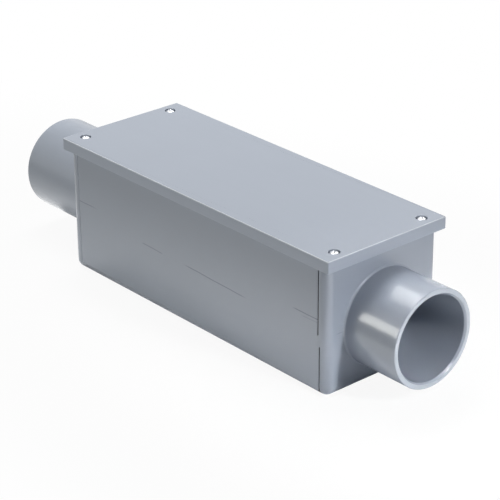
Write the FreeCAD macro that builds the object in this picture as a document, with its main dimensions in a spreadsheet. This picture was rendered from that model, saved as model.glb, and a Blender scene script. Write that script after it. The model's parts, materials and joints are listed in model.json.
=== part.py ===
import FreeCAD, Part
import os
import Sketcher

# A straight-through conduit body in grey rigid plastic for 2-1/2 inch conduit: a moulded trough, closed
# at each end by a cap with a socket hub, under a thick cover that four recessed screws hold on a gasket.
# Millimetres, +Z up. The origin is the middle of the box's underside, and +X runs to the short hub.

doc = FreeCAD.newDocument("conduit_body")
sheet = doc.addObject("Spreadsheet::Sheet", "Sizes")

# Driving sizes
sizes = {
    # box
    "box_length": 330.5,
    "box_width": 121.0,
    "box_height": 110.8,
    "wall": 5.2,
    "edge_radius": 7.7,
    "inner_corner_radius": 2.5,
    # end caps
    "end_plate": 10.7,
    "lip_depth": 14.0,
    "lip_thickness": 3.6,
    "lip_clearance": 0.2,
    "lip_drop": 1.5,
    "boss_radius": 5.6,
    "boss_height": 32.0,
    # hubs
    "hub_axis_height": 54.5,
    "conduit_diameter": 73.0,
    "conduit_wall": 5.16,
    "socket_clearance": 0.15,
    "hub_wall": 5.35,
    "short_hub_length": 55.9,
    "long_hub_length": 95.0,
    "stop_thickness": 5.0,
    "rim_bevel": 0.6,
    "mouth_bevel": 1.7,
    "root_bevel": 1.2,
    # seams between the caps and the trough
    "open_seam_width": 1.15,
    "open_seam_depth": 3.0,
    "open_seam_step": 1.75,
    "bridge_bottom": 43.5,
    "bridge_top": 53.3,
    "closed_seam_width": 0.35,
    "closed_seam_depth": 0.8,
    # cover and gasket
    "cover_thickness": 10.4,
    "cover_end_overhang": 4.85,
    "cover_side_overhang": 3.85,
    "cover_corner_round": 1.2,
    "cover_edge_bevel": 0.5,
    "gasket_thickness": 1.5,
    "gasket_inset": 0.8,
    # cover screws and their inserts
    "screw_end_inset": 6.3,
    "screw_side_inset": 12.9,
    "screw_diameter": 4.0,
    "screw_length": 20.0,
    "screw_hole_clearance": 0.3,
    "head_diameter": 7.7,
    "head_height": 3.0,
    "head_bevel": 1.2,
    "recess_diameter": 9.6,
    "recess_depth": 3.0,
    "cross_length": 4.4,
    "cross_width": 1.2,
    "cross_depth": 1.5,
    "insert_diameter": 6.2,
    "insert_length": 9.0,
    "insert_fit": 0.05,
    "thread_clearance": 0.1,
    "tip_room": 1.5,
    # how far a cut runs past the face it opens
    "overrun": 2.0,
}
for row, (alias, number) in enumerate(sizes.items(), start=1):
    sheet.set("A%d" % row, alias)
    sheet.set("B%d" % row, str(number))
    sheet.setAlias("B%d" % row, alias)
doc.recompute()

# Places that several pieces share, worked out from the driving sizes
half_length = "Sizes.box_length / 2"
half_width = "Sizes.box_width / 2"
joint_place = "(Sizes.box_length / 2 - Sizes.end_plate)"
inner_half_width = "(Sizes.box_width / 2 - Sizes.wall)"
socket_radius = "(Sizes.conduit_diameter / 2 + Sizes.socket_clearance)"
hub_radius = "(Sizes.conduit_diameter / 2 + Sizes.socket_clearance + Sizes.hub_wall)"
throat_radius = "(Sizes.conduit_diameter / 2 - Sizes.conduit_wall)"
cover_bottom = "(Sizes.box_height + Sizes.gasket_thickness)"
cover_top = "(Sizes.box_height + Sizes.gasket_thickness + Sizes.cover_thickness)"
screw_along = "(Sizes.box_length / 2 - Sizes.screw_end_inset)"
screw_across = "(Sizes.box_width / 2 - Sizes.screw_side_inset)"
screw_hole_radius = "(Sizes.screw_diameter / 2 + Sizes.screw_hole_clearance)"
insert_hole_radius = "(Sizes.insert_diameter / 2 + Sizes.insert_fit)"
insert_bore_radius = "(Sizes.screw_diameter / 2 + Sizes.thread_clearance)"
screw_reach = "(Sizes.screw_length - Sizes.cover_thickness + Sizes.recess_depth - Sizes.gasket_thickness)"


def value(expression):
    """The number that an expression on the sizes gives now."""
    return float(sheet.evalExpression(expression))


def new_body(node):
    """An empty body whose label is the node's name."""
    body = doc.addObject("PartDesign::Body", node)
    body.Label = node
    return body


def origin_feature(body, role):
    """A plane or an axis of the body's own origin."""
    for feature in body.Origin.OriginFeatures:
        if feature.Role == role:
            return feature
    raise ValueError(role)


def new_sketch(body, name, role, offset=None):
    """A sketch on one of the body's planes, moved along its normal by the offset."""
    sketch = body.newObject("Sketcher::SketchObject", body.Label + "_" + name)
    sketch.AttachmentSupport = [(origin_feature(body, role), "")]
    sketch.MapMode = "FlatFace"
    if offset is not None:
        sketch.setExpression("AttachmentOffset.Base.z", offset)
    return sketch


def place_point(sketch, curve, end, across, up, label):
    """Ties one point of a curve to two expressions, measured from the sketch's origin."""
    for kind, expression, side in (("DistanceX", across, "across"), ("DistanceY", up, "up")):
        rule = Sketcher.Constraint(kind, -1, 1, curve, end, value(expression))
        number = sketch.addConstraint(rule)
        name = label + "_" + side
        sketch.renameConstraint(number, name)
        sketch.setExpression("Constraints." + name, expression)


def polygon(sketch, corners, label="corner"):
    """A closed outline of straight lines through corners given as pairs of expressions."""
    spots = [FreeCAD.Vector(value(across), value(up), 0) for across, up in corners]
    first = sketch.GeometryCount
    count = len(corners)
    for number in range(count):
        sketch.addGeometry(Part.LineSegment(spots[number], spots[(number + 1) % count]), False)
    for number in range(count):
        after = first + (number + 1) % count
        sketch.addConstraint(Sketcher.Constraint("Coincident", first + number, 2, after, 1))
    for number, (across, up) in enumerate(corners):
        place_point(sketch, first + number, 1, across, up, "%s%d" % (label, number))


def rectangle(sketch, left, right, bottom, top, label="side"):
    """A rectangle between four expressions."""
    polygon(sketch, [(left, bottom), (right, bottom), (right, top), (left, top)], label)


def circle(sketch, across, up, radius, label="circle"):
    """A circle about a place given by expressions."""
    centre = FreeCAD.Vector(value(across), value(up), 0)
    curve = sketch.addGeometry(Part.Circle(centre, FreeCAD.Vector(0, 0, 1), value(radius)), False)
    place_point(sketch, curve, 3, across, up, label)
    number = sketch.addConstraint(Sketcher.Constraint("Radius", curve, value(radius)))
    sketch.renameConstraint(number, label + "_radius")
    sketch.setExpression("Constraints." + label + "_radius", radius)


def pad(body, sketch, name, length, backwards=False, both_ways=False):
    """Adds a sketch's outline as a solid of the given length."""
    feature = body.newObject("PartDesign::Pad", body.Label + "_" + name)
    feature.Profile = sketch
    feature.setExpression("Length", length)
    feature.Reversed = backwards
    if both_ways:
        feature.SideType = "Symmetric"
    doc.recompute()
    return feature


def pocket(body, sketch, name, length, backwards=False, both_ways=False):
    """Cuts a sketch's outline to the given length, and makes sure that it cut something."""
    before = body.Shape.Volume
    feature = body.newObject("PartDesign::Pocket", body.Label + "_" + name)
    feature.Profile = sketch
    feature.setExpression("Length", length)
    feature.Reversed = backwards
    if both_ways:
        feature.SideType = "Symmetric"
    doc.recompute()
    if body.Shape.Volume >= before:
        raise ValueError(feature.Name + " cuts nothing")
    return feature


def edge_names(base, spots):
    """Names of the edges that pass through the given spots."""
    names = []
    for spot in spots:
        point = Part.Vertex(spot)
        gaps = [edge.distToShape(point)[0] for edge in base.Shape.Edges]
        nearest = gaps.index(min(gaps))
        if gaps[nearest] > 0.001:
            raise ValueError("no edge of %s at %s" % (base.Name, spot))
        names.append("Edge%d" % (nearest + 1))
    return sorted(set(names))


def round_edges(body, name, spots, radius):
    """Rounds the edges that pass through the given spots."""
    base = body.Tip
    feature = body.newObject("PartDesign::Fillet", body.Label + "_" + name)
    feature.Base = (base, edge_names(base, spots))
    feature.setExpression("Radius", radius)
    doc.recompute()
    return feature


def bevel_edges(body, name, spots, size):
    """Bevels the edges that pass through the given spots."""
    base = body.Tip
    feature = body.newObject("PartDesign::Chamfer", body.Label + "_" + name)
    feature.Base = (base, edge_names(base, spots))
    feature.setExpression("Size", size)
    doc.recompute()
    return feature


def stepped_holes(body, sketch, name, radius, depth, step_radius, step_depth):
    """Flat-bottomed holes with a wider step at the mouth, at the circles of a sketch."""
    doc.recompute()
    before = body.Shape.Volume
    feature = body.newObject("PartDesign::Hole", body.Label + "_" + name)
    feature.Profile = sketch
    feature.Threaded = False
    feature.DrillPoint = "Flat"
    feature.DepthType = "Dimension"
    feature.setExpression("Diameter", "2 * " + radius)
    feature.setExpression("Depth", depth)
    feature.HoleCutType = "Counterbore"
    feature.HoleCutCustomValues = True
    feature.setExpression("HoleCutDiameter", "2 * " + step_radius)
    feature.setExpression("HoleCutDepth", step_depth)
    doc.recompute()
    if body.Shape.Volume >= before:
        raise ValueError(feature.Name + " cuts nothing")
    return feature


def circles_at_screws(sketch, radius):
    """A circle at each corner of the screw pattern."""
    for along, end in (("-", "left"), ("", "right")):
        for across, side in (("-", "front"), ("", "back")):
            circle(sketch, along + screw_along, across + screw_across, radius, end + "_" + side)


def repeat_at_screws(body, originals):
    """Repeats features at the four corners of the screw pattern, from the first corner."""
    feature = body.newObject("PartDesign::LinearPattern", body.Label + "_at_corners")
    feature.Originals = originals
    feature.Direction = (origin_feature(body, "X_Axis"), [""])
    feature.Direction2 = (origin_feature(body, "Y_Axis"), [""])
    feature.setExpression("Length", "2 * " + screw_along)
    feature.setExpression("Length2", "2 * " + screw_across)
    feature.Occurrences = 2
    feature.Occurrences2 = 2
    body.Tip = feature
    doc.recompute()
    return feature


def lift(body, along, across, up):
    """Places a body by expressions."""
    body.setExpression("Placement.Base.x", along)
    body.setExpression("Placement.Base.y", across)
    body.setExpression("Placement.Base.z", up)


def make_trough():
    """The channel that holds the cables: a floor and two long walls, open at the top and both ends."""
    body = new_body("trough")
    outside = new_sketch(body, "outside", "YZ_Plane")
    rectangle(outside, "-" + half_width, half_width, "0", "Sizes.box_height")
    pad(body, outside, "block", "2 * " + joint_place, both_ways=True)

    inside = new_sketch(body, "inside", "YZ_Plane")
    top = "Sizes.box_height + Sizes.overrun"
    rectangle(inside, "-" + inner_half_width, inner_half_width, "Sizes.wall", top)
    pocket(body, inside, "channel", "2 * " + joint_place, both_ways=True)

    outer = value(half_width)
    inner = value(inner_half_width)
    floor = value("Sizes.wall")
    bottom_edges = [FreeCAD.Vector(0, side * outer, 0) for side in (-1, 1)]
    round_edges(body, "bottom_round", bottom_edges, "Sizes.edge_radius")
    floor_edges = [FreeCAD.Vector(0, side * inner, floor) for side in (-1, 1)]
    round_edges(body, "floor_round", floor_edges, "Sizes.inner_corner_radius")
    return body


def cut_seam(body, name, start, width, depth, high, low=None):
    """A groove round the cap's inner edge: two upright runs up to high. They start at low, or are joined
    under the floor where no low is given."""
    out = "(Sizes.box_width / 2 + Sizes.overrun)"
    deep = "(Sizes.box_width / 2 - %s)" % depth
    seam = new_sketch(body, name, "YZ_Plane", start)
    if low is None:
        round_in = "(Sizes.box_width / 2 - Sizes.edge_radius)"
        below = "-Sizes.overrun"
        corners = [("-" + out, high), ("-" + out, below), (out, below), (out, high)]
        corners += [(deep, high), (deep, "Sizes.edge_radius"), (round_in, depth)]
        corners += [("-" + round_in, depth), ("-" + deep, "Sizes.edge_radius"), ("-" + deep, high)]
        polygon(seam, corners)
    else:
        rectangle(seam, "-" + out, "-" + deep, low, high, "front")
        rectangle(seam, deep, out, low, high, "back")
    pocket(body, seam, name + "_cut", width, backwards=True)


def make_end_cap(node, hub_length):
    """A moulded cap in its own frame: the outer face at X = 0, the hub towards +X. The plate closes the
    trough's end, a lip nests inside the trough, two bosses hold the screw inserts, and the hub is a
    socket for the conduit with a stop at its inner end."""
    body = new_body(node)
    plate_back = "-Sizes.end_plate"
    axis = "Sizes.hub_axis_height"

    plate = new_sketch(body, "plate_outline", "YZ_Plane", plate_back)
    rectangle(plate, "-" + half_width, half_width, "0", "Sizes.box_height")
    pad(body, plate, "plate", "Sizes.end_plate")
    side = value(half_width)
    middle = value("-Sizes.end_plate / 2")
    up = value("Sizes.box_height / 2")
    rounded = [FreeCAD.Vector(middle, -side, 0), FreeCAD.Vector(middle, side, 0)]
    rounded += [FreeCAD.Vector(0, -side, up), FreeCAD.Vector(0, side, up), FreeCAD.Vector(0, 0, 0)]
    round_edges(body, "plate_round", rounded, "Sizes.edge_radius")

    tube = new_sketch(body, "tube_outline", "YZ_Plane")
    circle(tube, "0", axis, hub_radius)
    pad(body, tube, "tube", hub_length)
    crown = value(axis) + value(hub_radius)
    bevel_edges(body, "tube_root", [FreeCAD.Vector(0, 0, crown)], "Sizes.root_bevel")

    lip_side = "(Sizes.box_width / 2 - Sizes.wall - Sizes.lip_clearance)"
    lip_floor = "(Sizes.wall + Sizes.lip_clearance)"
    lip_top = "(Sizes.box_height - Sizes.lip_drop)"
    hollow_side = "(%s - Sizes.lip_thickness)" % lip_side
    hollow_floor = "(%s + Sizes.lip_thickness)" % lip_floor
    lip = new_sketch(body, "lip_outside", "YZ_Plane", plate_back)
    rectangle(lip, "-" + lip_side, lip_side, lip_floor, lip_top)
    pad(body, lip, "lip", "Sizes.lip_depth", backwards=True)
    lip_middle = value("-Sizes.end_plate - Sizes.lip_depth / 2")
    lip_edges = [FreeCAD.Vector(lip_middle, hand * value(lip_side), value(lip_floor)) for hand in (-1, 1)]
    round_edges(body, "lip_round", lip_edges, "Sizes.inner_corner_radius")
    hollow = new_sketch(body, "lip_inside", "YZ_Plane", plate_back)
    rectangle(hollow, "-" + hollow_side, hollow_side, hollow_floor, lip_top + " + Sizes.overrun")
    pocket(body, hollow, "lip_hollow", "Sizes.lip_depth")

    boss = new_sketch(body, "boss_outline", "XY_Plane", "Sizes.box_height")
    screw_line = "-Sizes.screw_end_inset"
    circle(boss, screw_line, "-" + screw_across, "Sizes.boss_radius", "front")
    circle(boss, screw_line, screw_across, "Sizes.boss_radius", "back")
    pad(body, boss, "bosses", "Sizes.boss_height", backwards=True)

    socket_depth = hub_length + " + Sizes.end_plate - Sizes.stop_thickness"
    socket = new_sketch(body, "socket_outline", "YZ_Plane", hub_length)
    circle(socket, "0", axis, socket_radius)
    pocket(body, socket, "socket", socket_depth)
    throat = new_sketch(body, "throat_outline", "YZ_Plane", hub_length)
    circle(throat, "0", axis, throat_radius)
    pocket(body, throat, "throat", hub_length + " + Sizes.end_plate + Sizes.overrun")

    mouth = value(hub_length)
    rim = [FreeCAD.Vector(mouth, 0, crown)]
    bevel_edges(body, "rim", rim, "Sizes.rim_bevel")
    lead_in = [FreeCAD.Vector(mouth, 0, value(axis) + value(socket_radius))]
    bevel_edges(body, "mouth", lead_in, "Sizes.mouth_bevel")

    holes = new_sketch(body, "screw_centres", "XY_Plane", "Sizes.box_height")
    circle(holes, screw_line, "-" + screw_across, screw_hole_radius, "front")
    circle(holes, screw_line, screw_across, screw_hole_radius, "back")
    tip_depth = screw_reach + " + Sizes.tip_room"
    step_depth = "Sizes.insert_length"
    stepped_holes(body, holes, "insert_holes", screw_hole_radius, tip_depth, insert_hole_radius, step_depth)
    return body


def make_short_hub_cap():
    """The cap on the +X end. Its seam with the trough was left open: a dark groove that cement bridges
    at half height, where the two halves of the mould were also out of line."""
    body = make_end_cap("end_cap_short_hub", "Sizes.short_hub_length")
    width = "Sizes.open_seam_width"
    depth = "Sizes.open_seam_depth"
    top = "Sizes.box_height + Sizes.overrun"
    cut_seam(body, "upper_seam", "-Sizes.end_plate", width, depth, top, low="Sizes.bridge_top")
    lower_start = "-Sizes.end_plate + Sizes.open_seam_step"
    cut_seam(body, "lower_seam", lower_start, width, depth, "Sizes.bridge_bottom")
    lift(body, half_length, "0", "0")
    return body


def make_long_hub_cap():
    """The cap on the -X end, turned round to face that way. Its seam is closed up to a hairline."""
    body = make_end_cap("end_cap_long_hub", "Sizes.long_hub_length")
    width = "Sizes.closed_seam_width"
    depth = "Sizes.closed_seam_depth"
    top = "Sizes.box_height + Sizes.overrun"
    cut_seam(body, "seam", "-Sizes.end_plate", width, depth, top)
    body.Placement.Rotation = FreeCAD.Rotation(FreeCAD.Vector(0, 0, 1), 180)
    lift(body, "-" + half_length, "0", "0")
    return body


def make_cover():
    """The thick flat cover, wider and longer than the box, with a stepped hole for each screw."""
    body = new_body("cover")
    along = "(Sizes.box_length / 2 + Sizes.cover_end_overhang)"
    across = "(Sizes.box_width / 2 + Sizes.cover_side_overhang)"
    outline = new_sketch(body, "outline", "XY_Plane")
    rectangle(outline, "-" + along, along, "-" + across, across)
    pad(body, outline, "plate", "Sizes.cover_thickness")
    end = value(along)
    side = value(across)
    thick = value("Sizes.cover_thickness")
    hands = (-1, 1)
    uprights = [FreeCAD.Vector(a * end, b * side, thick / 2) for a in hands for b in hands]
    round_edges(body, "corner_round", uprights, "Sizes.cover_corner_round")
    top_edge = [FreeCAD.Vector(0, side, thick)]
    bevel_edges(body, "top_bevel", top_edge, "Sizes.cover_edge_bevel")

    centres = new_sketch(body, "screw_centres", "XY_Plane", "Sizes.cover_thickness")
    circles_at_screws(centres, screw_hole_radius)
    depth = "Sizes.cover_thickness"
    recess = "(Sizes.recess_diameter / 2)"
    stepped_holes(body, centres, "screw_holes", screw_hole_radius, depth, recess, "Sizes.recess_depth")
    lift(body, "0", "0", cover_bottom)
    return body


def make_cover_gasket():
    """The flat rubber frame between the box's rim and the cover, with a hole for each screw."""
    body = new_body("cover_gasket")
    along = "(Sizes.box_length / 2 - Sizes.gasket_inset)"
    across = "(Sizes.box_width / 2 - Sizes.gasket_inset)"
    outline = new_sketch(body, "outline", "XY_Plane")
    rectangle(outline, "-" + along, along, "-" + across, across, "outer")
    rectangle(outline, "-" + joint_place, joint_place, "-" + inner_half_width, inner_half_width, "inner")
    circles_at_screws(outline, screw_hole_radius)
    pad(body, outline, "frame", "Sizes.gasket_thickness")
    end = value(along)
    side = value(across)
    middle = value("Sizes.gasket_thickness / 2")
    hands = (-1, 1)
    uprights = [FreeCAD.Vector(a * end, b * side, middle) for a in hands for b in hands]
    round_edges(body, "corner_round", uprights, "Sizes.edge_radius - Sizes.gasket_inset")
    lift(body, "0", "0", "Sizes.box_height")
    return body


def make_cover_screws():
    """Four pan-head screws with a cross recess, modelled from the first corner of the pattern. Each
    screw's frame has its origin under the head."""
    body = new_body("cover_screws")
    profile = new_sketch(body, "profile", "XZ_Plane")
    shank = "Sizes.screw_diameter / 2"
    head = "Sizes.head_diameter / 2"
    corners = [("0", "-Sizes.screw_length"), (shank, "-Sizes.screw_length"), (shank, "0")]
    corners += [(head, "0"), (head, "Sizes.head_height"), ("0", "Sizes.head_height")]
    polygon(profile, corners)
    turned = body.newObject("PartDesign::Revolution", "cover_screws_turned")
    turned.Profile = profile
    turned.ReferenceAxis = (profile, ["V_Axis"])
    doc.recompute()
    rim = [FreeCAD.Vector(value(head), 0, value("Sizes.head_height"))]
    crown = bevel_edges(body, "crown", rim, "Sizes.head_bevel")

    cross = new_sketch(body, "cross", "XY_Plane", "Sizes.head_height")
    far = "Sizes.cross_length / 2"
    near = "Sizes.cross_width / 2"
    arms = [(far, near), (near, near), (near, far), ("-" + near, far), ("-" + near, near)]
    arms += [("-" + far, near), ("-" + far, "-" + near), ("-" + near, "-" + near)]
    arms += [("-" + near, "-" + far), (near, "-" + far), (near, "-" + near), (far, "-" + near)]
    polygon(cross, arms)
    recess = pocket(body, cross, "recess", "Sizes.cross_depth")
    repeat_at_screws(body, [turned, crown, recess])
    lift(body, "-" + screw_along, "-" + screw_across, cover_top + " - Sizes.recess_depth")
    return body


def make_screw_inserts():
    """Four brass inserts, flush with the top of the caps, modelled from the first corner of the pattern."""
    body = new_body("screw_inserts")
    profile = new_sketch(body, "profile", "XZ_Plane")
    bore = insert_bore_radius
    outside = "Sizes.insert_diameter / 2"
    rectangle(profile, bore, outside, "-Sizes.insert_length", "0")
    turned = body.newObject("PartDesign::Revolution", "screw_inserts_turned")
    turned.Profile = profile
    turned.ReferenceAxis = (profile, ["V_Axis"])
    doc.recompute()
    repeat_at_screws(body, [turned])
    lift(body, "-" + screw_along, "-" + screw_across, "Sizes.box_height")
    return body


pieces = [
    make_trough(),
    make_short_hub_cap(),
    make_long_hub_cap(),
    make_cover(),
    make_cover_gasket(),
    make_cover_screws(),
    make_screw_inserts(),
]
doc.recompute()

# Every feature must be sound before anything is written
for item in doc.Objects:
    if "Invalid" in item.State or "Error" in item.State:
        raise ValueError(item.Name + " is " + ", ".join(item.State))
for piece in pieces:
    if piece.Shape.isNull() or not piece.Shape.isValid():
        raise ValueError(piece.Label + " has no sound shape")

os.makedirs("parts", exist_ok=True)
for piece in pieces:
    piece.Shape.exportStep("parts/%s.step" % piece.Label)
    box = piece.Shape.BoundBox
    text = "%s: %d solid(s), %.1f cm3, X %.1f to %.1f, Y %.1f to %.1f, Z %.1f to %.1f"
    solids = len(piece.Shape.Solids)
    limits = (box.XMin, box.XMax, box.YMin, box.YMax, box.ZMin, box.ZMax)
    print(text % ((piece.Label, solids, piece.Shape.Volume / 1000) + limits))
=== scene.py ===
# %% [markdown]
# A straight-through conduit body
#
# This is a cable fitting in grey rigid plastic. A long moulded trough is closed at each end by a cap with
# a socket hub, and a thick flat cover is screwed down on a gasket. The shapes come from the packed
# engineering model, so this script only dresses them: it softens their edges, gives every surface a
# finish, makes the screws in full detail, and sets up the light and the camera.

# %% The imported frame
import json
import math

import bmesh
import bpy
from mathutils import Matrix, Vector


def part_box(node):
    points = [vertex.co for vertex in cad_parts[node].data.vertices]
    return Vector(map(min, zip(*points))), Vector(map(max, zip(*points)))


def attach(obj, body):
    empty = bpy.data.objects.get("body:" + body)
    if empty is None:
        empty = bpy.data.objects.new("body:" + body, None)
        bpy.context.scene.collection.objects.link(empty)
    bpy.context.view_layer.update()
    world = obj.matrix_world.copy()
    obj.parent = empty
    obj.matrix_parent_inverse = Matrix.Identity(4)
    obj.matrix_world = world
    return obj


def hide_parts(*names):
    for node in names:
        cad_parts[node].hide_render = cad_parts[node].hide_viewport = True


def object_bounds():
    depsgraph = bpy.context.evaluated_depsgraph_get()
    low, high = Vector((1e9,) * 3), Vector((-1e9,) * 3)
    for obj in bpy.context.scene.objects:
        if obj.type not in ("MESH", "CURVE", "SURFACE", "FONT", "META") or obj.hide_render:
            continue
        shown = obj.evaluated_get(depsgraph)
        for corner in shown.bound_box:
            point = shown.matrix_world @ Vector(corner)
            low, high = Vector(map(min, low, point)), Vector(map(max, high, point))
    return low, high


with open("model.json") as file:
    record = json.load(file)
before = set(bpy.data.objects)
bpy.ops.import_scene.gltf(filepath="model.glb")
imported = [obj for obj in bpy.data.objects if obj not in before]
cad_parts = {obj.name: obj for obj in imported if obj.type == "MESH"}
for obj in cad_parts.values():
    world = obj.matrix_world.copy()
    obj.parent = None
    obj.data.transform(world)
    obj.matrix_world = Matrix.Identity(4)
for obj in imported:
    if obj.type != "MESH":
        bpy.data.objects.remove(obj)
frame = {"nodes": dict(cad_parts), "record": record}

cad_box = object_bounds()
MM = 0.001
print("pieces in the frame:", ", ".join(sorted(frame["nodes"])))
print("box of the frame in mm:", [round(value / MM, 1) for corner in cad_box for value in corner])

# %% [markdown]
# Places on the object
#
# Marks and screws must sit where the real ones do, so their places are worked out from the frame and not
# typed in. The trough gives the long side faces and the joint planes at the caps. The gasket is a little
# smaller than the box, which gives the caps' end faces, and the record's mount for the short hub's socket
# gives the height of the hubs' axis.

# %% Places worked out from the frame
GASKET_INSET = 0.8 * MM
mounts = {mount["name"]: mount for mount in frame["record"]["mounts"]}
hub_height = mounts["short_hub_socket"]["pos_m"][2]
end_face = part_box("cover_gasket")[1].x + GASKET_INSET
trough_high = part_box("trough")[1]
side_face = trough_high.y
joint_place = trough_high.x
screws_low, screws_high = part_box("cover_screws")
inserts_low, inserts_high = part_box("screw_inserts")
print("end face at %.2f mm, side face at %.2f mm" % (end_face / MM, side_face / MM))

# %% [markdown]
# Shader maths as plain expressions
#
# A procedural finish is a network of small nodes, and long networks are hard to read when every node
# and link takes its own lines. This class wraps one output socket. Arithmetic on it adds the Math nodes,
# and its node method adds any other kind, so a mask can be written as an ordinary formula.

# %% A wire between shader nodes
class Wire:
    """One output socket of a shader node. Arithmetic on wires adds Math nodes."""

    def __init__(self, socket):
        self.socket = socket

    def node(self, kind, settings=None, sockets=None, output=0):
        """Adds a node of any kind to this wire's tree: its settings first, then its sockets."""
        tree = self.socket.id_data
        made = tree.nodes.new(kind)
        for name, setting in (settings or {}).items():
            setattr(made, name, setting)
        for name, given in (sockets or {}).items():
            if isinstance(given, Wire):
                tree.links.new(given.socket, made.inputs[name])
            else:
                made.inputs[name].default_value = given
        return Wire(made.outputs[output])

    def maths(self, operation, *given):
        return self.node("ShaderNodeMath", {"operation": operation}, dict(enumerate(given)))

    def __add__(self, other):
        return self.maths("ADD", self, other)

    def __sub__(self, other):
        return self.maths("SUBTRACT", self, other)

    def __rsub__(self, other):
        return self.maths("SUBTRACT", other, self)

    def __mul__(self, other):
        return self.maths("MULTIPLY", self, other)

    def __abs__(self):
        return self.maths("ABSOLUTE", self)

    __radd__ = __add__
    __rmul__ = __mul__


# %% Helpers for masks and colours
def srgb(red, green, blue):
    """A colour as seen on a screen, 0 to 255, as the linear colour that a shader takes."""
    def linear(level):
        level = level / 255
        return level / 12.92 if level <= 0.04045 else ((level + 0.055) / 1.055) ** 2.4
    return (linear(red), linear(green), linear(blue), 1.0)


def fade(wire, start, end):
    """0 at start and 1 at end, smooth between. It falls instead where end is below start."""
    setting = {"interpolation_type": "SMOOTHSTEP"}
    return wire.node("ShaderNodeMapRange", setting, {"Value": wire, "From Min": start, "From Max": end})


def stretch(wire, low, high, soft):
    """1 from low to high, fading over a soft length outside them."""
    return fade(wire, low - soft, low) * fade(wire, high + soft, high)


def hairline(distance, width):
    """1 where a distance is zero, fading to 0 half a width away on either side."""
    return fade(abs(distance), width / 2, 0)


def noise(place, size, detail=2.0):
    """Soft noise from 0 to 1 whose blotches are about the given size."""
    return place.node("ShaderNodeTexNoise", {}, {"Vector": place, "Scale": 1 / size, "Detail": detail})


def uneven(place, size, least, detail=3.0):
    """Noise from least to 1, which makes a mask stronger here and weaker there."""
    return least + (1 - least) * noise(place, size, detail)


def squeeze(place, factors):
    """The same place with each axis multiplied by a factor. Noise is drawn out along a small factor."""
    return place.node("ShaderNodeVectorMath", {"operation": "MULTIPLY"}, {0: place, 1: factors})


def blend(mask, first, second):
    """The first colour where the mask is 0 and the second where it is 1."""
    return mask.node("ShaderNodeMix", {"data_type": "RGBA"}, {0: mask, 6: first, 7: second}, 2)


def split(place):
    """The three coordinates of a place."""
    parts = place.node("ShaderNodeSeparateXYZ", {}, {0: place})
    return [Wire(socket) for socket in parts.socket.node.outputs]


def new_finish(name, **constants):
    """A material, its shader with the given constants, and the place on the surface as a wire."""
    material = bpy.data.materials.new(name)
    material.use_nodes = True
    shader = material.node_tree.nodes["Principled BSDF"]
    for socket, setting in constants.items():
        shader.inputs[socket.replace("_", " ")].default_value = setting
    coordinates = material.node_tree.nodes.new("ShaderNodeTexCoord")
    return material, shader, Wire(coordinates.outputs["Object"])


def feed(shader, **wires):
    """Links wires to the shader's sockets by name."""
    for socket, wire in wires.items():
        shader.id_data.links.new(wire.socket, shader.inputs[socket.replace("_", " ")])


def bump(height_in_mm):
    """A normal from a height in millimetres."""
    return height_in_mm.node("ShaderNodeBump", {}, {"Distance": MM, "Height": height_in_mm})


# %% [markdown]
# Grey moulded plastic
#
# Rigid plastic of this kind is nearly one colour, but it is never perfectly even. The colour drifts a
# little over a hand's width, the melt leaves faint streaks along the moulding, and the skin has a low
# orange peel that softens each reflection. All three are noise at different sizes. The sheen comes from
# one roughness with a little noise in it.

# %% The plastic's colour, sheen and skin
PLASTIC_LIGHT = srgb(160, 168, 181)
PLASTIC_DARK = srgb(155, 163, 176)
LINE_SHADE = srgb(92, 97, 106)
# Painted shade for the seam groove and for the hollows of the screw heads.
PAINTED_SHADE = srgb(46, 48, 52)
PLASTIC_IOR = 1.54
SMOOTHEST = 0.21
ROUGHNESS_RANGE = 0.06
SHEEN_PATCH = 25 * MM
COLOUR_DRIFT = 70 * MM
DRIFT_SHARE = 0.7
STREAK_SIZE = 9 * MM
STREAK_LENGTHS = (0.08, 1.0, 1.0)
ORANGE_PEEL = 3.5 * MM
FINE_GRAIN = 0.5 * MM


def plastic(name, layers=(), peel=0.012, grain=0.002):
    """Grey plastic, whose orange peel and grain have the given heights in millimetres. Each layer has
    a function that makes a mask of the place, the colour the mask brings, how deep in millimetres it
    sinks the skin, and how much rougher it makes it."""
    material, shader, place = new_finish(name, IOR=PLASTIC_IOR)
    drift = noise(place, COLOUR_DRIFT)
    streaks = noise(squeeze(place, STREAK_LENGTHS), STREAK_SIZE, detail=3.0)
    colour = blend(DRIFT_SHARE * drift + (1 - DRIFT_SHARE) * streaks, PLASTIC_DARK, PLASTIC_LIGHT)
    rough = SMOOTHEST + ROUGHNESS_RANGE * noise(place, SHEEN_PATCH, detail=4.0)
    height = peel * noise(place, ORANGE_PEEL, detail=1.0) + grain * noise(place, FINE_GRAIN, detail=1.0)
    for mask_of, layer_colour, depth, rougher in layers:
        mask = mask_of(place)
        colour = blend(mask, colour, layer_colour)
        height = height - depth * mask
        rough = rough + rougher * mask
    feed(shader, Base_Color=colour, Roughness=rough, Normal=bump(height))
    return material


print("plastic roughness from %.2f to %.2f" % (SMOOTHEST, SMOOTHEST + ROUGHNESS_RANGE))

# %% [markdown]
# Parting lines
#
# Each moulding came out of a mould in two halves, and the halves leave a hairline where they met. On
# the real walls it comes and goes, wanders by a fraction of a millimetre, and doesn't meet up from one
# moulding to the next. It could be cut into the mesh, but it is finer than any edge there, so it is
# drawn as a mask: each stretch has a start, an end and a level, and the mask darkens the colour and
# sinks the skin a little.

# %% The parting lines of the trough
LINE_WIDTH = 1.5 * MM
LINE_DEPTH = 0.12
WANDER = 1.0 * MM
WANDER_LENGTH = 22 * MM
WALL_SKIN = (1.2 * MM, 0.4 * MM)

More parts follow.
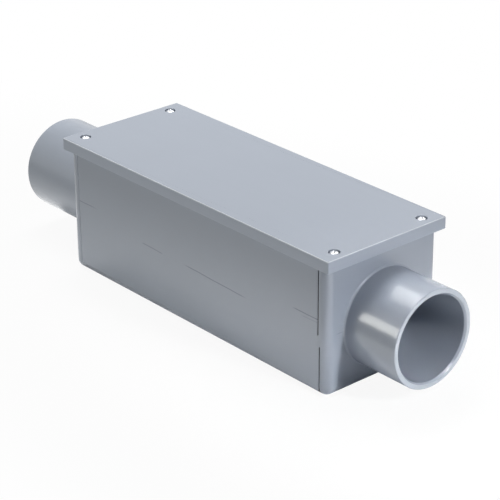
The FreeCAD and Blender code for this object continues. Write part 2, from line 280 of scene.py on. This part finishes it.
# Each stretch on the front wall: start, end and height in mm, slope, fading length in mm, strength
TROUGH_LINES = [
    (-158.0, -143.0, 67.0, 0.00, 18.0, 0.55),
    (-63.0, -41.0, 56.5, -0.02, 4.0, 0.45),
    (0.0, 60.0, 55.8, -0.03, 12.0, 0.58),
    (131.0, 154.0, 67.0, 0.00, 7.0, 0.55),
    (140.0, 154.0, 64.0, 0.02, 6.0, 0.20),
]


def wander(place):
    """How far a line strays up or down at a place."""
    return WANDER * (noise(place, WANDER_LENGTH) - 0.5)


def trough_marks(place):
    """The broken hairlines on both long walls. The back wall has the front one's lines turned round."""
    x, y, z = split(place)
    facing = fade(y, MM, -MM) * 2 - 1
    along = x * facing
    inner, outer = WALL_SKIN
    outside = fade(abs(y), side_face - inner, side_face - outer)
    stray = wander(place)
    total = 0
    for start, end, level, slope, soft, strength in TROUGH_LINES:
        height = level * MM + slope * (along - start * MM) + stray
        reach = stretch(along, start * MM, end * MM, soft * MM)
        total = strength * reach * hairline(z - height, LINE_WIDTH) + total
    return outside * total


print("parting lines on each long wall:", len(TROUGH_LINES))

# %% The parting lines of the caps
CAP_LINE_WIDTH = 0.8 * LINE_WIDTH
CAP_LINE_STRENGTH = 0.3
CAP_LINE_PATCH = 14 * MM
CAP_LINE_BREAKS = (0.45, 0.60)
CAP_CORNER = (8 * MM, 14 * MM)


def cap_marks(place):
    """The short stretches on the caps, across each end face. On the hubs their shade is covered, and
    only a faint dip is left."""
    x, y, z = split(place)
    level = hairline(z - hub_height - wander(place), CAP_LINE_WIDTH)
    broken = fade(noise(place, CAP_LINE_PATCH, detail=1.0), *CAP_LINE_BREAKS)
    bare, full = CAP_CORNER
    off_corners = fade(abs(y), side_face - bare, side_face - full)
    return CAP_LINE_STRENGTH * level * broken * off_corners


# %% [markdown]
# Painted shade in the seams
#
# The groove between the short cap and the trough is only about a millimetre wide, and such a groove lies
# deep in shade. That shade is painted into the colour as a mask. It needs the depth below the outer skin,
# which is the distance to the nearest outer face, and a band of places along the box where the groove
# runs.

# %% Masks for the groove beside the short cap
GROOVE_REACH = 3.2 * MM
JOINT_MARGIN = 0.02 * MM
GROOVE_EDGE = 0.01 * MM
END_SKIN = 0.10 * MM
UNSHADED_DEPTH = 0.3 * MM
SHADED_DEPTH = 0.9 * MM
GROOVE_DULLNESS = 0.4


def below_skin(place):
    """0 on the box's sides and underside, and 1 a little way in from the nearest of them."""
    x, y, z = split(place)
    depth = z.maths("MINIMUM", side_face - abs(y), z)
    return fade(depth, UNSHADED_DEPTH, SHADED_DEPTH)


def cap_groove_shade(place):
    """The walls of the groove that is cut round the short cap's inner edge, darkened with painted shade.
    """
    x, y, z = split(place)
    beside = stretch(x, joint_place + JOINT_MARGIN, joint_place + GROOVE_REACH, GROOVE_EDGE)
    return beside * below_skin(place)


def trough_groove_shade(place):
    """The trough's end face there, which is the other wall of the groove, darkened with painted shade."""
    x, y, z = split(place)
    at_end = fade(x, joint_place - END_SKIN, joint_place - JOINT_MARGIN)
    return at_end * below_skin(place)


print("the groove starts at %.2f mm" % (joint_place / MM))

# %% [markdown]
# Smoother and cut faces
#
# In the photograph the hubs shine a little more sharply than the walls do, so their skin is smoother.
# Their ends were faced to length with a blade, and the cover was sawn from a sheet. A cut breaks the
# glossy skin, so the flat ring at each hub's end and the cover's four narrow sides are duller than the
# rest. They are also paler, partly from the cut and partly as painted light for the light they catch,
# and the cover's upper edge carries a painted highlight. Each is a mask with its own colour and its own
# change of roughness.

# %% The hubs and their cut ends
HUB_GREY = srgb(159, 167, 180)
HUB_ROOT = (0.2 * MM, 2 * MM)
HUB_SMOOTHER = -0.05
# The ring is paler partly from the cut and partly as painted light for the light it catches.
CUT_AND_LIT_PALE = srgb(178, 186, 196)
CUT_SKIN = (0.6 * MM, 0.1 * MM)
CUT_PATCH = 6 * MM
CUT_LEAST = 0.75
CUT_DULLNESS = 0.2
short_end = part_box("end_cap_short_hub")[1].x
long_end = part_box("end_cap_long_hub")[0].x


def smooth_hubs(place):
    """Both hubs, from the caps' end faces outwards."""
    x, y, z = split(place)
    start, full = HUB_ROOT
    return fade(abs(x), end_face + start, end_face + full)


def cut_and_lit_ends(place):
    """The flat ring at the end of each hub, painted paler partly for the cut and partly as painted light.
    """
    x, y, z = split(place)
    start, full = CUT_SKIN
    at_short = fade(x, short_end - start, short_end - full)
    at_long = fade(x, long_end + start, long_end + full)
    return (at_short + at_long) * uneven(place, CUT_PATCH, CUT_LEAST)


print("hubs end at %.1f and %.1f mm" % (long_end / MM, short_end / MM))

# %% The cover's sawn sides and painted edge highlight
# The sides are paler partly from the saw and partly as painted light for the light they catch.
SAWN_AND_LIT_PALE = srgb(175, 184, 198)
SAWN_SKIN = (0.30 * MM, 0.10 * MM)
SAW_MARK = 1.2 * MM
SAW_MARK_LENGTHS = (0.04, 0.04, 1.0)
SAW_MARK_LEAST = 0.7
SAW_MARK_DEPTH = 0.02
# A painted highlight along the cover's upper edge, for the light its rounded edge catches.
EDGE_HIGHLIGHT = srgb(218, 224, 231)
HIGHLIGHT_WIDTH = (0.9 * MM, 0.5 * MM)
HIGHLIGHT_HEIGHT = (0.8 * MM, 0.4 * MM)
HIGHLIGHT_PATCH = 9 * MM
HIGHLIGHT_LEAST = 0.6
HIGHLIGHT_DULLNESS = 0.1
cover_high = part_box("cover")[1]


def near_sides(place, start, full):
    """A band along the cover's four sides, from 0 at one depth inside them to 1 at another."""
    x, y, z = split(place)
    ends = fade(abs(x), cover_high.x - start, cover_high.x - full)
    sides = fade(abs(y), cover_high.y - start, cover_high.y - full)
    return ends.maths("MAXIMUM", ends, sides)


def sawn_and_lit_sides(place):
    """The four narrow sides of the cover, with faint saw marks that run along them. They are painted
    paler, partly for the sawn face and partly as painted light.
    """
    marks = uneven(squeeze(place, SAW_MARK_LENGTHS), SAW_MARK, SAW_MARK_LEAST, detail=2.0)
    return near_sides(place, *SAWN_SKIN) * marks


def painted_edge_highlight(place):
    """The cover's upper edges, with a painted highlight along them."""
    x, y, z = split(place)
    start, full = HIGHLIGHT_HEIGHT
    upper = fade(z, cover_high.z - start, cover_high.z - full)
    return near_sides(place, *HIGHLIGHT_WIDTH) * upper * uneven(place, HIGHLIGHT_PATCH, HIGHLIGHT_LEAST)


print("the cover's top is at %.1f mm" % (cover_high.z / MM))

# %% The three plastic finishes
trough_plastic = plastic("trough_plastic", [
    (trough_marks, LINE_SHADE, LINE_DEPTH, 0.0),
    (trough_groove_shade, PAINTED_SHADE, 0.0, GROOVE_DULLNESS),
])
cap_plastic = plastic("cap_plastic", [
    (cap_marks, LINE_SHADE, LINE_DEPTH, 0.0),
    (cap_groove_shade, PAINTED_SHADE, 0.0, GROOVE_DULLNESS),
    (smooth_hubs, HUB_GREY, 0.0, HUB_SMOOTHER),
    (cut_and_lit_ends, CUT_AND_LIT_PALE, 0.0, CUT_DULLNESS),
])
cover_plastic = plastic("cover_plastic", [
    (sawn_and_lit_sides, SAWN_AND_LIT_PALE, SAW_MARK_DEPTH, CUT_DULLNESS),
    (painted_edge_highlight, EDGE_HIGHLIGHT, 0.0, HIGHLIGHT_DULLNESS),
], peel=0.006, grain=0.004)
print("finishes so far:", ", ".join(material.name for material in bpy.data.materials))

# %% [markdown]
# Rubber, steel and brass
#
# The gasket is matt black rubber, the screws are bright steel with fine turning rings on the head, and
# the inserts are brass. Metal needs Metallic at 1 and a colour for its reflection, and most of its look
# is how rough it is and which way the fine scratches run.

# %% The gasket's rubber
RUBBER = srgb(38, 39, 41)
RUBBER_WORN = srgb(54, 55, 57)
RUBBER_IOR = 1.5
RUBBER_ROUGHNESS = 0.75
RUBBER_PATCH = 12 * MM
RUBBER_PATCH_DULLNESS = 0.2
RUBBER_GRAIN = 0.6 * MM
RUBBER_GRAIN_HEIGHT = 0.03


def rubber():
    """Matt black rubber that is worn paler and duller in patches."""
    material, shader, place = new_finish("gasket_rubber", IOR=RUBBER_IOR)
    patches = noise(place, RUBBER_PATCH, detail=4.0)
    rough = RUBBER_ROUGHNESS + RUBBER_PATCH_DULLNESS * patches
    height = RUBBER_GRAIN_HEIGHT * noise(place, RUBBER_GRAIN)
    feed(shader, Base_Color=blend(patches, RUBBER, RUBBER_WORN), Roughness=rough, Normal=bump(height))
    return material


# %% Turned metal
STEEL = srgb(214, 216, 220)
STEEL_DULL = srgb(176, 180, 186)
STEEL_ROUGHNESS = 0.22
STEEL_RINGS = 0.12 * MM
BRASS = srgb(205, 170, 98)
BRASS_DULL = srgb(158, 124, 66)
BRASS_ROUGHNESS = 0.30
BRASS_RINGS = 0.15 * MM
RING_HEIGHT = 0.004
METAL_PATCH = 1.5 * MM
METAL_PATCH_DULLNESS = 0.1
METAL_SHADE_DULLNESS = 0.5


def metal(name, bright, dull, roughness, ring_size, shade_mask_of=None):
    """Turned metal: rings round the piece's own upright axis, with dull patches, and painted shade where
    a mask of the radius and the height says."""
    material, shader, place = new_finish(name)
    x, y, z = split(place)
    radius = x.maths("SQRT", x * x + y * y)
    rings = radius.node("ShaderNodeTexNoise", {"noise_dimensions": "1D"},
                        {"W": radius, "Scale": 1 / ring_size})
    patches = noise(place, METAL_PATCH, detail=3.0)
    colour = blend(patches, bright, dull)
    rough = roughness + METAL_PATCH_DULLNESS * patches
    if shade_mask_of is None:
        shader.inputs["Metallic"].default_value = 1.0
    else:
        hollow_shade = shade_mask_of(radius, z)
        colour = blend(hollow_shade, colour, PAINTED_SHADE)
        rough = rough + METAL_SHADE_DULLNESS * hollow_shade
        feed(shader, Metallic=1 - hollow_shade)
    feed(shader, Base_Color=colour, Roughness=rough, Normal=bump(RING_HEIGHT * rings))
    return material


# %% Painted shade on the screw heads
HEAD_RADIUS = 3.85 * MM
HEAD_HEIGHT = 3.0 * MM
RECESS_REACH = 2.3 * MM
RECESS_EDGE = 0.15 * MM
RECESS_SHADE = (HEAD_HEIGHT - 0.40 * MM, HEAD_HEIGHT - 0.75 * MM)
HEAD_ROOT = (0.2 * MM, 0.6 * MM)
FOOT_SHADE = (1.9 * MM, 0.9 * MM)
FOOT_LOW = -0.2 * MM
FOOT_RING = (2.6 * MM, 2.9 * MM)
FOOT_STRENGTH = 0.85


def head_shade(radius, z):
    """Painted shade low down in the cross and round the foot of the head."""
    in_cross = fade(z, *RECESS_SHADE)
    in_cross = in_cross * fade(radius, RECESS_REACH + RECESS_EDGE, RECESS_REACH) * fade(z, *HEAD_ROOT)
    foot = fade(z, *FOOT_SHADE) * fade(z, FOOT_LOW, 0) * fade(radius, *FOOT_RING)
    return in_cross.maths("MAXIMUM", in_cross, FOOT_STRENGTH * foot)


gasket_rubber = rubber()
screw_steel = metal("screw_steel", STEEL, STEEL_DULL, STEEL_ROUGHNESS, STEEL_RINGS, head_shade)
insert_brass = metal("insert_brass", BRASS, BRASS_DULL, BRASS_ROUGHNESS, BRASS_RINGS)
print("finishes of the small pieces:", gasket_rubber.name, screw_steel.name, insert_brass.name)

# %% [markdown]
# Mouldings with soft edges
#
# No moulded or sawn edge is perfectly sharp, and the thin highlight along each edge is what tells the
# eye that a thing is real. The engineering meshes have sharp edges, so each big piece gets a copy: its
# flat faces are joined up again, and a bevel with a small radius runs along every edge that turns
# sharply. The copy stands exactly where the engineering piece is. The seam at the long cap is closed
# tight on the real object, so the edges there stay sharp and meet without a line.

# %% Softened copies of the plastic pieces
WELD_GAP = 0.001 * MM
FLAT_ENOUGH = math.radians(0.5)
SHARP_TURN = math.radians(30)
SEAM_REACH = 0.1 * MM
MOULDED_EDGE = 0.25 * MM
SAWN_EDGE = 0.60 * MM


def placed(name, data):
    """An object in the scene with the given mesh, lamp or camera."""
    item = bpy.data.objects.new(name, data)
    bpy.context.scene.collection.objects.link(item)
    return item


def softened(node, name, radius, material):
    """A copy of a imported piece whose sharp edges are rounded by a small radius, but for those at the
    closed seam."""
    mesh = frame["nodes"][node].data.copy()
    mesh.materials.clear()
    mesh.materials.append(material)
    work = bmesh.new()
    work.from_mesh(mesh)
    bmesh.ops.remove_doubles(work, verts=work.verts, dist=WELD_GAP)
    bmesh.ops.dissolve_limit(work, angle_limit=FLAT_ENOUGH, verts=work.verts, edges=work.edges)
    for face in work.faces:
        face.smooth = True
    share = work.edges.layers.float.new("bevel_weight_edge")
    for edge in work.edges:
        turns = edge.is_manifold and edge.calc_face_angle() > SHARP_TURN
        at_seam = all(abs(vert.co.x + joint_place) < SEAM_REACH for vert in edge.verts)
        edge[share] = 1.0 if turns and not at_seam else 0.0
    work.to_mesh(mesh)
    work.free()
    piece = placed(name, mesh)
    rounding = piece.modifiers.new("edges", "BEVEL")
    rounding.limit_method = "WEIGHT"
    rounding.width = radius
    rounding.segments = 3
    rounding.miter_outer = "MITER_ARC"
    shading = piece.modifiers.new("normals", "WEIGHTED_NORMAL")
    shading.weight = 100
    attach(piece, "root")
    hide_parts(node)
    print("%s: %d faces before its edges are rounded" % (name, len(mesh.polygons)))


softened("trough", "trough_moulding", MOULDED_EDGE, trough_plastic)
softened("end_cap_short_hub", "short_cap_moulding", MOULDED_EDGE, cap_plastic)
softened("end_cap_long_hub", "long_cap_moulding", MOULDED_EDGE, cap_plastic)
softened("cover", "cover_plate", SAWN_EDGE, cover_plastic)

# %% The gasket keeps its engineering mesh
gasket_mesh = frame["nodes"]["cover_gasket"].data
gasket_mesh.materials.clear()
gasket_mesh.materials.append(gasket_rubber)
print("gasket: %d faces" % len(gasket_mesh.polygons))

# %% [markdown]
# The cover screws
#
# A pan-head screw is turned, so its body is a profile spun round an axis. The thread is a helix: each
# point of the spun skin moves in with its height and its angle together. The cross in the head is
# pressed in with a tapered punch, so it is cut with a tapered cutter.

# %% A spun skin with relief
CREASE = math.radians(40)


def spun(profile, steps, relief):
    """A closed mesh spun from (radius, height) points, whose ends lie on the axis. Relief is a function
    of radius, height and angle that adds to the radius."""
    work = bmesh.new()
    rings = []
    for radius, height in profile[1:-1]:
        ring = []
        for step in range(steps):
            angle = 2 * math.pi * step / steps
            reach = radius + relief(radius, height, angle)
            ring.append(work.verts.new((reach * math.cos(angle), reach * math.sin(angle), height)))
        rings.append(ring)
    for lower, upper in zip(rings, rings[1:]):
        for step in range(steps):
            after = (step + 1) % steps
            work.faces.new((lower[step], lower[after], upper[after], upper[step]))
    bottom = work.verts.new((0, 0, profile[0][1]))
    top = work.verts.new((0, 0, profile[-1][1]))
    for step in range(steps):
        after = (step + 1) % steps
        work.faces.new((bottom, rings[0][after], rings[0][step]))
        work.faces.new((top, rings[-1][step], rings[-1][after]))
    return work


def smooth_piece(name, work, material):
    """Turns a bmesh into an object with smooth faces that still breaks at sharp edges."""
    mesh = bpy.data.meshes.new(name)
    for face in work.faces:
        face.smooth = True
    for edge in work.edges:
        edge.smooth = not (edge.is_manifold and edge.calc_face_angle() > CREASE)
    work.to_mesh(mesh)
    work.free()
    mesh.materials.append(material)
    return placed(name, mesh)


# %% The screw's profile and thread
THREAD_PITCH = 0.7 * MM
THREAD_DEPTH = 0.42 * MM
ROWS_PER_TURN = 6
HEAD_CORNER = 0.15 * MM
HEAD_RIM = 1.1 * MM
DOME_STEP = 12
DOME_FULLNESS = 0.8
SHANK_RADIUS = 2.0 * MM
TIP_LENGTH = 0.6 * MM
PLAIN_NECK = 0.8 * MM
screw_length = screws_high.z - screws_low.z - HEAD_HEIGHT


def ridge(height, angle):
    """1 on the crest of a thread and 0 in its groove, at this height and angle."""
    turn = (height / THREAD_PITCH - angle / (2 * math.pi)) % 1.0
    return abs(2 * turn - 1)


def thread(radius, height, angle):
    """How far the shank's skin is below the thread's crest, as a number below 0. It is 0 elsewhere."""
    fading = min(1.0, max(0.0, (-PLAIN_NECK - height) / THREAD_PITCH))
    on_shank = height < 0 and radius > SHANK_RADIUS - TIP_LENGTH
    return -THREAD_DEPTH * fading * (1 - ridge(height, angle)) if on_shank else 0.0


def screw_profile():
    """From the tip up the shank, under the head and over its dome."""
    tip = -screw_length
    points = [(0, tip), (SHANK_RADIUS - TIP_LENGTH, tip)]
    rows = round((screw_length - TIP_LENGTH) / (THREAD_PITCH / ROWS_PER_TURN))
    for row in range(rows + 1):
        points.append((SHANK_RADIUS, tip + TIP_LENGTH + (screw_length - TIP_LENGTH) * row / rows))
    points += [(HEAD_RADIUS - HEAD_CORNER, 0), (HEAD_RADIUS, HEAD_CORNER), (HEAD_RADIUS, HEAD_RIM)]
    dome = HEAD_HEIGHT - HEAD_RIM
    for degrees in range(DOME_STEP, 90, DOME_STEP):
        angle = math.radians(degrees)
        radius = HEAD_RADIUS * math.cos(angle) ** DOME_FULLNESS
        points.append((radius, HEAD_RIM + dome * math.sin(angle) ** DOME_FULLNESS))
    points.append((0, HEAD_HEIGHT))
    return points


print("screws %.1f mm long under the head" % (screw_length / MM))

# %% The cross recess and the four screws
RECESS_WIDTH = 0.60 * MM
RECESS_DEPTH = 1.6 * MM
RECESS_TAPER = 0.45
CUTTER_RISE = 0.5 * MM
CUTTER_FLARE = 1.1
SCREW_STEPS = 36
SCREW_TURNS = (20, 65, 38, 80)
SCREW_CORNERS = ((-1, -1), (1, -1), (-1, 1), (1, 1))
SQUARE = ((-1, -1), (1, -1), (1, 1), (-1, 1))


def cross_cutter():
    """Two crossed blades that narrow towards their lower ends."""
    work = bmesh.new()
    for reach, width in ((RECESS_REACH, RECESS_WIDTH), (RECESS_WIDTH, RECESS_REACH)):
        above = HEAD_HEIGHT + CUTTER_RISE
        below = HEAD_HEIGHT - RECESS_DEPTH
        corners = []
        for height, taper in ((below, RECESS_TAPER), (above, CUTTER_FLARE)):
            for across, along in SQUARE:
                corners.append(work.verts.new((across * reach * taper, along * width * taper, height)))
        low, high = corners[:4], corners[4:]
        work.faces.new(low[::-1])
        work.faces.new(high)
        for side in range(4):
            after = (side + 1) % 4
            work.faces.new((low[side], low[after], high[after], high[side]))
    return work


def cover_screw(number, place, turned, cutter):
    """One screw, with its cross pressed in and turned as the last tightening left it."""
    work = spun(screw_profile(), SCREW_STEPS, thread)
    piece = smooth_piece("cover_screw_%d" % number, work, screw_steel)
    cut = piece.modifiers.new("cross", "BOOLEAN")
    cut.object = cutter
    cut.operation = "DIFFERENCE"
    cut.solver = "EXACT"
    cut.use_self = True
    bpy.context.view_layer.update()
    evaluated = piece.evaluated_get(bpy.context.evaluated_depsgraph_get())
    piece.data = bpy.data.meshes.new_from_object(evaluated)
    piece.modifiers.clear()
    piece.matrix_world = Matrix.Translation(place) @ Matrix.Rotation(math.radians(turned), 4, "Z")
    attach(piece, "root")
    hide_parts("cover_screws")
    return piece


cutter = smooth_piece("cross_cutter", cross_cutter(), screw_steel)
screw_x = screws_high.x - HEAD_RADIUS
screw_y = screws_high.y - HEAD_RADIUS
seat = screws_high.z - HEAD_HEIGHT
for number, (turned, (end, side)) in enumerate(zip(SCREW_TURNS, SCREW_CORNERS), start=1):
    made = cover_screw(number, Vector((end * screw_x, side * screw_y, seat)), turned, cutter)
bpy.data.objects.remove(cutter)
print("each screw has %d faces" % len(made.data.polygons))

# %% [markdown]
# The brass inserts
#
# The screws bite into brass inserts that are pressed into the caps, so that the cover can be taken off
# many times. An insert has a knurl outside, which holds it in the plastic, and a thread inside. It is
# out of sight while the cover is on. At each angle its skin is one closed row of points, up the outside
# and down the bore, and faces join each row to the next.

# %% Four knurled inserts
INSERT_RADIUS = inserts_high.x - screw_x
INSERT_BORE = 2.1 * MM
KNURL_DEPTH = 0.18 * MM
KNURLS = 24
KNURL_ROWS = 5
KNURL_BANDS = 2
BAND_SHARE = 0.38
INSERT_ROWS = 48
INSERT_THREAD = 0.5 * THREAD_DEPTH


def insert_skin(number, place):
    """A tube: knurled outside, threaded inside, with a plain band in the middle and at both ends."""
    length = inserts_high.z - inserts_low.z
    rows = INSERT_ROWS
    steps = 4 * KNURLS
    work = bmesh.new()
    columns = []
    for step in range(steps):
        angle = 2 * math.pi * step / steps
        column = []
        for row in range(rows + 1):
            height = -length + length * row / rows
            band = abs(((row / rows) * KNURL_BANDS) % 1.0 - 0.5) < BAND_SHARE
            slant = KNURL_ROWS * 2 * math.pi * row / rows
            waves = math.cos(KNURLS * angle + slant) * math.cos(KNURLS * angle - slant)
            reach = INSERT_RADIUS - KNURL_DEPTH * (abs(waves) if band else 1.0)
            column.append(work.verts.new((reach * math.cos(angle), reach * math.sin(angle), height)))
        for row in range(rows, -1, -1):
            height = -length + length * row / rows
            reach = INSERT_BORE + INSERT_THREAD * ridge(height, angle)
            column.append(work.verts.new((reach * math.cos(angle), reach * math.sin(angle), height)))
        columns.append(column)
    for step in range(steps):
        here = columns[step]
        after = columns[(step + 1) % steps]
        for row in range(len(here)):
            above = (row + 1) % len(here)
            work.faces.new((here[row], after[row], after[above], here[above]))
    piece = smooth_piece("screw_insert_%d" % number, work, insert_brass)
    piece.matrix_world = Matrix.Translation(place)
    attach(piece, "root")
    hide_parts("screw_inserts")
    return piece


for number, (end, side) in enumerate(SCREW_CORNERS, start=1):
    made = insert_skin(number, Vector((end * screw_x, side * screw_y, inserts_high.z)))
print("each insert has %d faces" % len(made.data.polygons))

# %% [markdown]
# The floor and the background
#
# The object stands on a plain white table. The camera sees mostly an even white, so that the background
# is clean, and a share of real light, so that the soft shadow under the object stays. Reflections near
# the object see only the real light, because the dark place under a hub has to look dark in them too,
# and they see it brighter, because such a table is lit to more than plain white. The table only throws
# light back near the object: further out it is dark to the light and white to the eye, like a small
# table in a big studio. The world behind it is the same white.

# %% A white table that keeps the shadow
FLOOR_REACH = 6.0
TABLE_MIDDLE = (0.20, 0.0, 0.0)
TABLE_SQUEEZE = (0.45, 1.0, 0.0)
TABLE_START = 0.10
TABLE_END = 0.40
CAMERA_GLOW = 0.92
MIRROR_GLOW = 0.7
TABLE_WHITE = (0.9, 0.9, 0.9, 1.0)
MIRROR_WHITE = (2.2, 2.2, 2.2, 1.0)
STUDIO_DARK = (0.05, 0.05, 0.05, 1.0)
PURE_WHITE = (1.0, 1.0, 1.0, 1.0)


def kinds_of_ray(start):
    """Two wires: 1 for rays from the camera, and 1 for rays that a reflection or clear stuff sends."""
    rays = start.node("ShaderNodeLightPath").socket.node.outputs
    camera, glossy, clear = [Wire(rays[name]) for name in
                             ("Is Camera Ray", "Is Glossy Ray", "Is Transmission Ray")]
    return camera, glossy.maths("MAXIMUM", glossy, clear)


def white_floor():
    """A wide floor that is white to the camera, and throws light back only near the object."""
    mesh = bpy.data.meshes.new("floor")
    mesh.from_pydata([(x * FLOOR_REACH, y * FLOOR_REACH, 0) for x, y in SQUARE], [], [(0, 1, 2, 3)])
    floor = placed("floor", mesh)
    material = bpy.data.materials.new("floor_white")
    material.use_nodes = True
    tree = material.node_tree
    tree.nodes.clear()
    output = tree.nodes.new("ShaderNodeOutputMaterial")
    place = Wire(tree.nodes.new("ShaderNodeTexCoord").outputs["Object"])
    from_middle = place.node("ShaderNodeVectorMath", {"operation": "SUBTRACT"},
                             {0: place, 1: TABLE_MIDDLE})
    out = squeeze(from_middle, TABLE_SQUEEZE)
    far = fade(out.node("ShaderNodeVectorMath", {"operation": "LENGTH"}, {0: out}, "Value"),
               TABLE_START, TABLE_END)
    camera, mirror = kinds_of_ray(far)
    white = blend(mirror, TABLE_WHITE, MIRROR_WHITE)
    paint = far.node("ShaderNodeBsdfDiffuse", {}, {"Color": blend(far, white, STUDIO_DARK)})
    glow = paint.node("ShaderNodeEmission", {}, {"Color": PURE_WHITE, "Strength": 1.0})
    seen = CAMERA_GLOW + (1 - CAMERA_GLOW) * far
    share = camera * seen + mirror * (MIRROR_GLOW * far)
    mixed = paint.node("ShaderNodeMixShader", {}, {0: share, 1: paint, 2: glow})
    tree.links.new(mixed.socket, output.inputs["Surface"])
    mesh.materials.append(material)


def white_world():
    """White to the camera and in reflections, and dark for everything else."""
    world = bpy.data.worlds.new("studio")
    bpy.context.scene.world = world
    world.use_nodes = True
    tree = world.node_tree
    backdrop = tree.nodes["Background"]
    camera, mirror = kinds_of_ray(Wire(backdrop.outputs[0]))
    tree.links.new((camera + mirror).socket, backdrop.inputs["Strength"])
    backdrop.inputs["Color"].default_value = PURE_WHITE


white_floor()
white_world()
reach_along, reach_across = [TABLE_END / factor for factor in TABLE_SQUEEZE[:2]]
print("the table throws light back %.2f m along the box and %.2f m across" % (reach_along, reach_across))

# %% [markdown]
# Soft studio light
#
# The lamps stand round the object, as in a product studio. Each is placed by its direction as seen from
# the object. A small lamp close by on the right throws the hub's shadow down the end face with a fairly
# sharp edge. Large ones overhead and behind light the cover and draw the broad highlight on the hubs,
# and a low one in front, a touch warmer, lights the long wall and draws the narrow highlight below it.
# A narrow beam from the small lamp's place makes the near end brighter low down, as a lamp with a
# honeycomb does.

# %% The lamps
LAMP_DISTANCE = 1.7
KEY_DISTANCE = 0.72
KEY_WAY = (93.4, 35.2)
KEY_SIZE = (0.075, 0.075)
BEAM_WIDTH = 24
BEAM_TARGET = (0.20, -0.05, -0.01)
WARM_WHITE = (1.0, 0.99, 0.93)
middle = (cad_box[0] + cad_box[1]) / 2
hub_middle = Vector((short_end, 0, hub_height))


def direction(azimuth, elevation):
    """A unit arrow out from the object. Azimuth 0 is the front wall's side, and 90 the short hub's."""
    turn, rise = math.radians(azimuth), math.radians(elevation)
    return Vector((math.sin(turn) * math.cos(rise), -math.cos(turn) * math.cos(rise), math.sin(rise)))


def lamp(name, azimuth, elevation, width, height, level, distance=LAMP_DISTANCE, aim=middle):
    """A soft lamp. Level is the light it gives a surface that faces it at its aim, where 1 shows a
    colour as it is written. A lamp whose beam is narrowed afterwards gives more."""
    data = bpy.data.lights.new(name, "AREA")
    data.shape = "RECTANGLE"
    data.size = width
    data.size_y = height
    data.energy = level * math.pi ** 2 * distance ** 2
    made = placed(name, data)
    arrow = direction(azimuth, elevation)
    made.location = aim + distance * arrow
    made.rotation_mode = "QUATERNION"
    made.rotation_quaternion = arrow.to_track_quat("Z", "Y")
    return made


def narrow(made, degrees, target):
    """Narrows a lamp's beam and turns it to a target."""
    made.data.spread = math.radians(degrees)
    made.rotation_quaternion = (made.location - Vector(target)).to_track_quat("Z", "Y")


lamp("right_key", *KEY_WAY, *KEY_SIZE, 0.49, KEY_DISTANCE, hub_middle)
lamp("over_back", 225, 66, 0.8, 0.8, 0.50)
lamp("over_left", 270, 68, 0.8, 0.8, 0.36)
low_left = lamp("low_left", 330, 12, 0.75, 0.5, 0.30)
low_left.data.color = WARM_WHITE
lamp("back", 195, 35, 0.8, 0.6, 0.22)
beam = lamp("right_beam", *KEY_WAY, *KEY_SIZE, 0.0108, KEY_DISTANCE, hub_middle)
narrow(beam, BEAM_WIDTH, BEAM_TARGET)

# %% [markdown]
# The camera
#
# The camera looks down on the near corner from the short hub's side. Its direction, distance and lens
# were fitted to the edges of the real box, so the picture has the same vanishing lines.

# %% A camera on the near corner
CAMERA_AZIMUTH = 49.178
CAMERA_ELEVATION = 25.143
CAMERA_ROLL = -0.445
CAMERA_DISTANCE = 1698.63 * MM
CAMERA_AIM = Vector((9.937, -4.265, 58.523)) * MM
LENS = 144.84
SENSOR = 36.0

camera_data = bpy.data.cameras.new("camera")
camera_data.lens = LENS
camera_data.sensor_width = SENSOR
camera = placed("camera", camera_data)
back = direction(CAMERA_AZIMUTH, CAMERA_ELEVATION)
camera.location = CAMERA_AIM + CAMERA_DISTANCE * back
level_view = back.to_track_quat("Z", "Y").to_matrix().to_4x4()
roll = Matrix.Rotation(math.radians(CAMERA_ROLL), 4, "Z")
camera.matrix_world = Matrix.Translation(camera.location) @ level_view @ roll
bpy.context.scene.camera = camera
bpy.context.scene.view_settings.view_transform = "Standard"
print("camera %.2f m away with a %.0f mm lens" % (CAMERA_DISTANCE, LENS))
